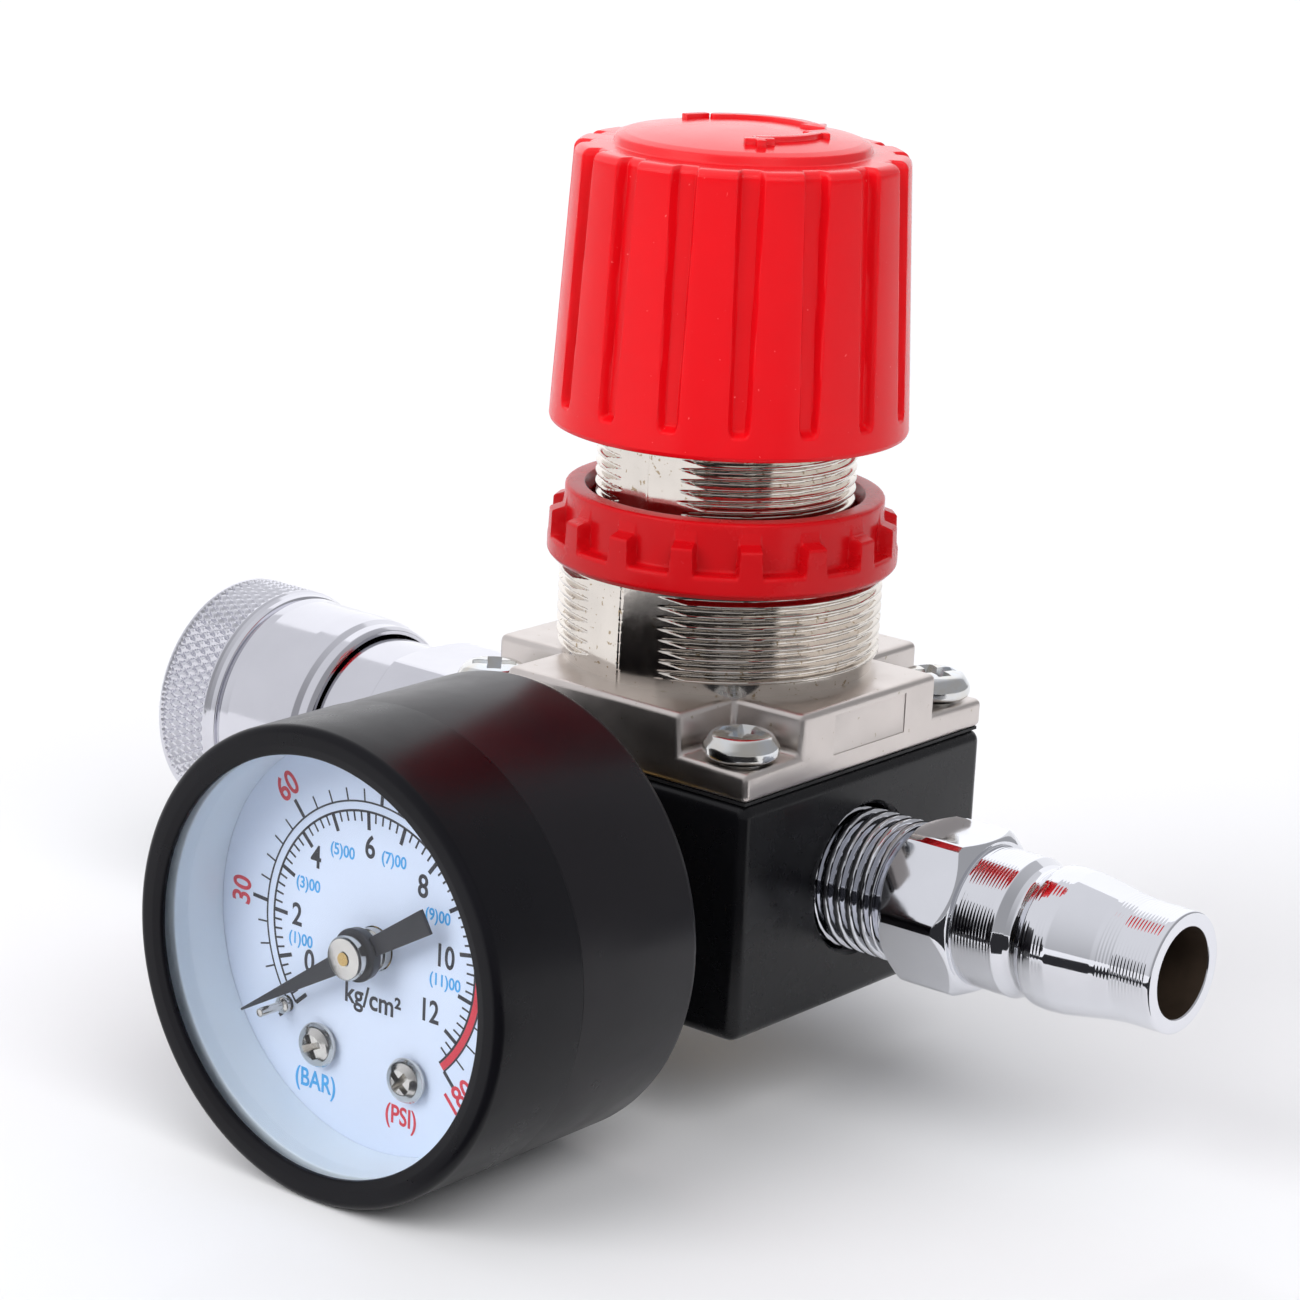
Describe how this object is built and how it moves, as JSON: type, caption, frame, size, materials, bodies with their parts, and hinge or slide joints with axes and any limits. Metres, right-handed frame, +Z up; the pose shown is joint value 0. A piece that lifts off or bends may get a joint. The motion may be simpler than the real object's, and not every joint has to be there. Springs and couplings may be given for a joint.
{
  "type": "air line pressure regulator",
  "caption": "Square-bodied line pressure regulator with a fluted adjusting knob, a dial gauge, a quick-connect inlet plug and a quick coupler on the outlet.",
  "frame": {"origin": "centre of the body block's bottom face, on the adjusting knob's axis", "axes": "+Z up along the knob's axis, +X out of the inlet plug, -Y out of the gauge's dial"},
  "size_m": [0.115, 0.0714, 0.0881],
  "materials": {
    "black_paint": "semi-gloss black paint on die-cast zinc",
    "nickel": "bright nickel plate",
    "chrome": "bright chrome plate on turned steel",
    "red_plastic": "moulded red ABS, satin gloss",
    "zinc_plate": "bluish zinc plate",
    "black_steel": "satin black enamel",
    "dial_white": "white printed dial",
    "white_plastic": "white moulded ring",
    "window": "clear window",
    "brass": "plain brass",
    "steel": "bright steel",
    "rubber": "nitrile rubber",
    "needle": "matt black paint"
  },
  "bodies": {
    "root": {"valve_body": "black_paint", "bonnet": "nickel", "bonnet_screw_1": "zinc_plate", "bonnet_screw_2": "zinc_plate", "bonnet_screw_3": "zinc_plate", "bonnet_screw_4": "zinc_plate", "main_spring": "steel", "diaphragm": "rubber", "valve_spring": "steel", "bottom_plug": "brass", "bottom_plug_seal": "rubber", "rear_port_plug": "zinc_plate", "male_plug": "chrome", "coupler_adapter": "chrome", "coupler_barrel": "steel", "sleeve_spring": "steel", "retaining_ring": "steel", "coupler_seal": "rubber", "coupler_valve_spring": "steel", "gauge_case": "black_steel", "gauge_bezel": "black_steel", "gauge_window": "window", "dial_ring": "white_plastic", "gauge_dial": "dial_white", "dial_screw_left": "steel", "dial_screw_right": "steel", "pointer_stop_pin": "steel", "movement_front_plate": "brass", "movement_back_plate": "brass", "movement_pillar_1": "brass", "movement_pillar_2": "brass", "movement_pillar_3": "brass", "hairspring": "brass", "bourdon_tube": "brass", "gauge_socket": "brass"},
    "spring_button": {"spring_button": "brass"},
    "knob": {"adjusting_knob": "red_plastic"},
    "lock_ring": {"lock_ring": "red_plastic"},
    "diaphragm_hub": {"diaphragm_plate": "brass", "diaphragm_nut": "brass"},
    "valve": {"valve_stem": "brass", "valve_seal": "rubber"},
    "sector": {"sector_gear": "brass"},
    "pointer": {"gauge_pointer": "needle", "pointer_cap": "steel", "pinion_arbor": "brass"},
    "link": {"movement_link": "brass"},
    "sleeve": {"coupler_sleeve": "chrome"},
    "coupler_valve": {"coupler_valve": "brass"},
    "ball_1": {"locking_ball_1": "steel"},
    "ball_2": {"locking_ball_2": "steel"},
    "ball_3": {"locking_ball_3": "steel"},
    "ball_4": {"locking_ball_4": "steel"}
  },
  "joints": [
    {"name": "knob_travel", "type": "slide", "parent": "root", "child": "spring_button", "axis": [0, 0, 1], "range_m": [-0.005, 0.001], "deforming": ["main_spring"]},
    {"name": "knob_turn", "type": "hinge", "parent": "spring_button", "child": "knob", "pos_m": [0, 0, 0.06], "axis": [0, 0, 1], "range_deg": [-1800.5, 360.5]},
    {"name": "lock_ring_turn", "type": "hinge", "parent": "root", "child": "lock_ring", "pos_m": [0, 0, 0.042], "axis": [0, 0, 1], "range_deg": [-180, 180]},
    {"name": "diaphragm_travel", "type": "slide", "parent": "root", "child": "diaphragm_hub", "axis": [0, 0, -1], "range_m": [0, 0.0012], "stiffness_N_per_m": 2000, "springref_m": -0.0005, "deforming": ["diaphragm"]},
    {"name": "valve_travel", "type": "slide", "parent": "root", "child": "valve", "axis": [0, 0, -1], "range_m": [0, 0.0012], "deforming": ["valve_spring"]},
    {"name": "sector_swing", "type": "hinge", "parent": "root", "child": "sector", "pos_m": [-0.00952, 0, 0.00525], "axis": [0, 1, 0], "range_deg": [-33.75, 0], "stiffness_Nm_per_rad": 0.1},
    {"name": "pointer_turn", "type": "hinge", "parent": "root", "child": "pointer", "pos_m": [0, 0, 0.01124], "axis": [0, 1, 0], "range_deg": [0, 270.01]},
    {"name": "link_pivot", "type": "hinge", "parent": "sector", "child": "link", "pos_m": [-0.0113, 0, 0.01013], "axis": [0, 1, 0], "range_deg": [0, 33.76]},
    {"name": "sleeve_slide", "type": "slide", "parent": "root", "child": "sleeve", "axis": [1, 0, 0], "range_m": [0, 0.0038], "stiffness_N_per_m": 900, "springref_m": -0.003, "deforming": ["sleeve_spring"]},
    {"name": "coupler_valve_travel", "type": "slide", "parent": "root", "child": "coupler_valve", "axis": [1, 0, 0], "range_m": [0, 0.003], "stiffness_N_per_m": 600, "springref_m": -0.002, "deforming": ["coupler_valve_spring"]},
    {"name": "ball_1_travel", "type": "slide", "parent": "root", "child": "ball_1", "axis": [0, 0, 1], "range_m": [0, 0.00077]},
    {"name": "ball_2_travel", "type": "slide", "parent": "root", "child": "ball_2", "axis": [0, -1, 0], "range_m": [0, 0.00077]},
    {"name": "ball_3_travel", "type": "slide", "parent": "root", "child": "ball_3", "axis": [0, 0, -1], "range_m": [0, 0.00077]},
    {"name": "ball_4_travel", "type": "slide", "parent": "root", "child": "ball_4", "axis": [0, 1, 0], "range_m": [0, 0.00077]}
  ],
  "couplings": [
    {"joint": "knob_turn", "follows": "knob_travel", "rad_per_m": 6283.2},
    {"joint": "valve_travel", "follows": "diaphragm_travel", "ratio": 1},
    {"joint": "pointer_turn", "follows": "sector_swing", "ratio": -8},
    {"joint": "link_pivot", "follows": "sector_swing", "ratio": -1},
    {"joint": "ball_1_travel", "follows": "sleeve_slide", "ratio": 0.2},
    {"joint": "ball_2_travel", "follows": "sleeve_slide", "ratio": 0.2},
    {"joint": "ball_3_travel", "follows": "sleeve_slide", "ratio": 0.2},
    {"joint": "ball_4_travel", "follows": "sleeve_slide", "ratio": 0.2}
  ]
}
